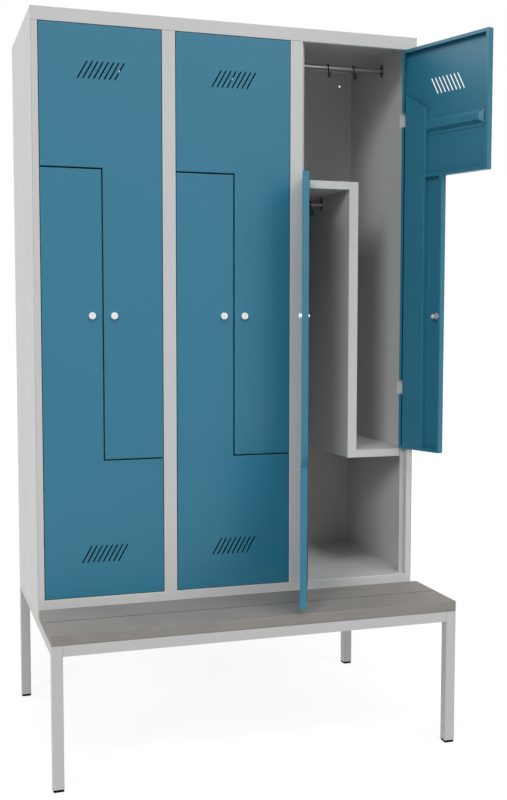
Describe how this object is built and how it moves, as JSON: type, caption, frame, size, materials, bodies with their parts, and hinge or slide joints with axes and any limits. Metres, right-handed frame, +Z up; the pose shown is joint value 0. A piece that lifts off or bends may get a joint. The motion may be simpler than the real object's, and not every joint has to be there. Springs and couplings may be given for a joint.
{
  "type": "clothes locker with bench",
  "caption": "Sheet-steel clothes locker with interlocking Z-shaped double doors, Z dividers, coat rails and locks, standing on a square-tube bench frame with slatted seat.",
  "frame": {"origin": "centre of the underside of the front left foot, on the floor", "axes": "+Z up, +Y from the seat to the back of the cabinet, +X to the right of someone who faces the doors"},
  "size_m": [1.2862, 0.8586, 2.1603],
  "materials": {
    "frame_paint": "light grey powder coat, fine satin",
    "door_paint": "petrol blue powder coat, fine satin",
    "seat_board": "mid grey matt board",
    "foot_rubber": "black matt plastic",
    "bright_steel": "bright plated",
    "rail_steel": "zinc plated",
    "dark_wire": "dark coated wire"
  },
  "bodies": {
    "cabinet": {"side_panel_left": "frame_paint", "side_panel_right": "frame_paint", "back_panel": "frame_paint", "top_panel": "frame_paint", "floor_tray": "frame_paint", "post_left": "frame_paint", "post_middle_1": "frame_paint", "post_middle_2": "frame_paint", "post_right": "frame_paint", "partition_1": "frame_paint", "partition_2": "frame_paint", "divider_1": "frame_paint", "divider_2": "frame_paint", "divider_3": "frame_paint", "bench_frame": "frame_paint", "coat_rail_upper_1": "rail_steel", "coat_rail_lower_1": "rail_steel", "coat_rail_upper_2": "rail_steel", "coat_rail_lower_2": "rail_steel", "coat_rail_upper_3": "rail_steel", "coat_rail_lower_3": "rail_steel", "seat_slat_front": "seat_board", "seat_slat_rear": "seat_board", "foot_front_left": "foot_rubber", "foot_front_right": "foot_rubber", "foot_rear_left": "foot_rubber", "foot_rear_right": "foot_rubber"},
    "upper_door_1": {"upper_door_1_panel": "door_paint", "upper_door_1_stiffener": "door_paint", "upper_door_1_lock_housing": "bright_steel"},
    "upper_door_1_lock": {"upper_door_1_lock_plug": "bright_steel"},
    "lower_door_1": {"lower_door_1_panel": "door_paint", "lower_door_1_stiffener": "door_paint", "lower_door_1_lock_housing": "bright_steel"},
    "lower_door_1_lock": {"lower_door_1_lock_plug": "bright_steel"},
    "upper_door_2": {"upper_door_2_panel": "door_paint", "upper_door_2_stiffener": "door_paint", "upper_door_2_lock_housing": "bright_steel"},
    "upper_door_2_lock": {"upper_door_2_lock_plug": "bright_steel"},
    "lower_door_2": {"lower_door_2_panel": "door_paint", "lower_door_2_stiffener": "door_paint", "lower_door_2_lock_housing": "bright_steel"},
    "lower_door_2_lock": {"lower_door_2_lock_plug": "bright_steel"},
    "upper_door_3": {"upper_door_3_panel": "door_paint", "upper_door_3_stiffener": "door_paint", "upper_door_3_lock_housing": "bright_steel"},
    "upper_door_3_lock": {"upper_door_3_lock_plug": "bright_steel"},
    "lower_door_3": {"lower_door_3_panel": "door_paint", "lower_door_3_stiffener": "door_paint", "lower_door_3_lock_housing": "bright_steel"},
    "lower_door_3_lock": {"lower_door_3_lock_plug": "bright_steel"},
    "hook_upper_1_1": {"hook_upper_1_1": "dark_wire"},
    "hook_upper_1_2": {"hook_upper_1_2": "dark_wire"},
    "hook_lower_1": {"hook_lower_1": "dark_wire"},
    "hook_upper_2_1": {"hook_upper_2_1": "dark_wire"},
    "hook_upper_2_2": {"hook_upper_2_2": "dark_wire"},
    "hook_lower_2": {"hook_lower_2": "dark_wire"},
    "hook_upper_3_1": {"hook_upper_3_1": "dark_wire"},
    "hook_upper_3_2": {"hook_upper_3_2": "dark_wire"},
    "hook_lower_3": {"hook_lower_3": "dark_wire"}
  },
  "joints": [
    {"name": "upper_door_1_hinge", "type": "hinge", "parent": "cabinet", "child": "upper_door_1", "pos_m": [0.356, 0.292, 1.28705], "axis": [0, 0, 1], "range_deg": [0, 90]},
    {"name": "upper_door_1_lock_turn", "type": "hinge", "parent": "upper_door_1", "child": "upper_door_1_lock", "pos_m": [0.2175, 0.287, 1.28705], "axis": [0, 1, 0], "range_deg": [0, 90]},
    {"name": "lower_door_1_hinge", "type": "hinge", "parent": "cabinet", "child": "lower_door_1", "pos_m": [0.014, 0.292, 1.28705], "axis": [0, 0, -1], "range_deg": [0, 115]},
    {"name": "lower_door_1_lock_turn", "type": "hinge", "parent": "lower_door_1", "child": "lower_door_1_lock", "pos_m": [0.1525, 0.287, 1.28705], "axis": [0, 1, 0], "range_deg": [0, 90]},
    {"name": "upper_door_2_hinge", "type": "hinge", "parent": "cabinet", "child": "upper_door_2", "pos_m": [0.756, 0.292, 1.28705], "axis": [0, 0, 1], "range_deg": [0, 75]},
    {"name": "upper_door_2_lock_turn", "type": "hinge", "parent": "upper_door_2", "child": "upper_door_2_lock", "pos_m": [0.6175, 0.287, 1.28705], "axis": [0, 1, 0], "range_deg": [0, 90]},
    {"name": "lower_door_2_hinge", "type": "hinge", "parent": "cabinet", "child": "lower_door_2", "pos_m": [0.414, 0.292, 1.28705], "axis": [0, 0, -1], "range_deg": [0, 90]},
    {"name": "lower_door_2_lock_turn", "type": "hinge", "parent": "lower_door_2", "child": "lower_door_2_lock", "pos_m": [0.5525, 0.287, 1.28705], "axis": [0, 1, 0], "range_deg": [0, 90]},
    {"name": "upper_door_3_hinge", "type": "hinge", "parent": "cabinet", "child": "upper_door_3", "pos_m": [1.156, 0.292, 1.28705], "axis": [0, 0, 1], "range_deg": [-108.5, 6.5]},
    {"name": "upper_door_3_lock_turn", "type": "hinge", "parent": "upper_door_3", "child": "upper_door_3_lock", "pos_m": [1.20469, 0.16224, 1.28705], "axis": [-0.9483, -0.3173, 0], "range_deg": [0, 90]},
    {"name": "lower_door_3_hinge", "type": "hinge", "parent": "cabinet", "child": "lower_door_3", "pos_m": [0.814, 0.292, 1.28705], "axis": [0, 0, -1], "range_deg": [-111, 0]},
    {"name": "lower_door_3_lock_turn", "type": "hinge", "parent": "lower_door_3", "child": "lower_door_3_lock", "pos_m": [0.7597, 0.16449, 1.28705], "axis": [0.9336, -0.3584, 0], "range_deg": [0, 90]},
    {"name": "hook_upper_1_1_slide", "type": "slide", "parent": "cabinet", "child": "hook_upper_1_1", "axis": [1, 0, 0], "range_m": [-0.1915, 0.06]},
    {"name": "hook_upper_1_2_slide", "type": "slide", "parent": "cabinet", "child": "hook_upper_1_2", "axis": [1, 0, 0], "range_m": [-0.02, 0.0995]},
    {"name": "hook_lower_1_slide", "type": "slide", "parent": "cabinet", "child": "hook_lower_1", "axis": [1, 0, 0], "range_m": [-0.132, 0.036]},
    {"name": "hook_upper_2_1_slide", "type": "slide", "parent": "cabinet", "child": "hook_upper_2_1", "axis": [1, 0, 0], "range_m": [-0.192, 0.06]},
    {"name": "hook_upper_2_2_slide", "type": "slide", "parent": "cabinet", "child": "hook_upper_2_2", "axis": [1, 0, 0], "range_m": [-0.02, 0.0995]},
    {"name": "hook_lower_2_slide", "type": "slide", "parent": "cabinet", "child": "hook_lower_2", "axis": [1, 0, 0], "range_m": [-0.1323, 0.0363]},
    {"name": "hook_upper_3_1_slide", "type": "slide", "parent": "cabinet", "child": "hook_upper_3_1", "axis": [1, 0, 0], "range_m": [-0.192, 0.06]},
    {"name": "hook_upper_3_2_slide", "type": "slide", "parent": "cabinet", "child": "hook_upper_3_2", "axis": [1, 0, 0], "range_m": [-0.02, 0.099]},
    {"name": "hook_lower_3_slide", "type": "slide", "parent": "cabinet", "child": "hook_lower_3", "axis": [1, 0, 0], "range_m": [-0.1323, 0.0362]}
  ]
}
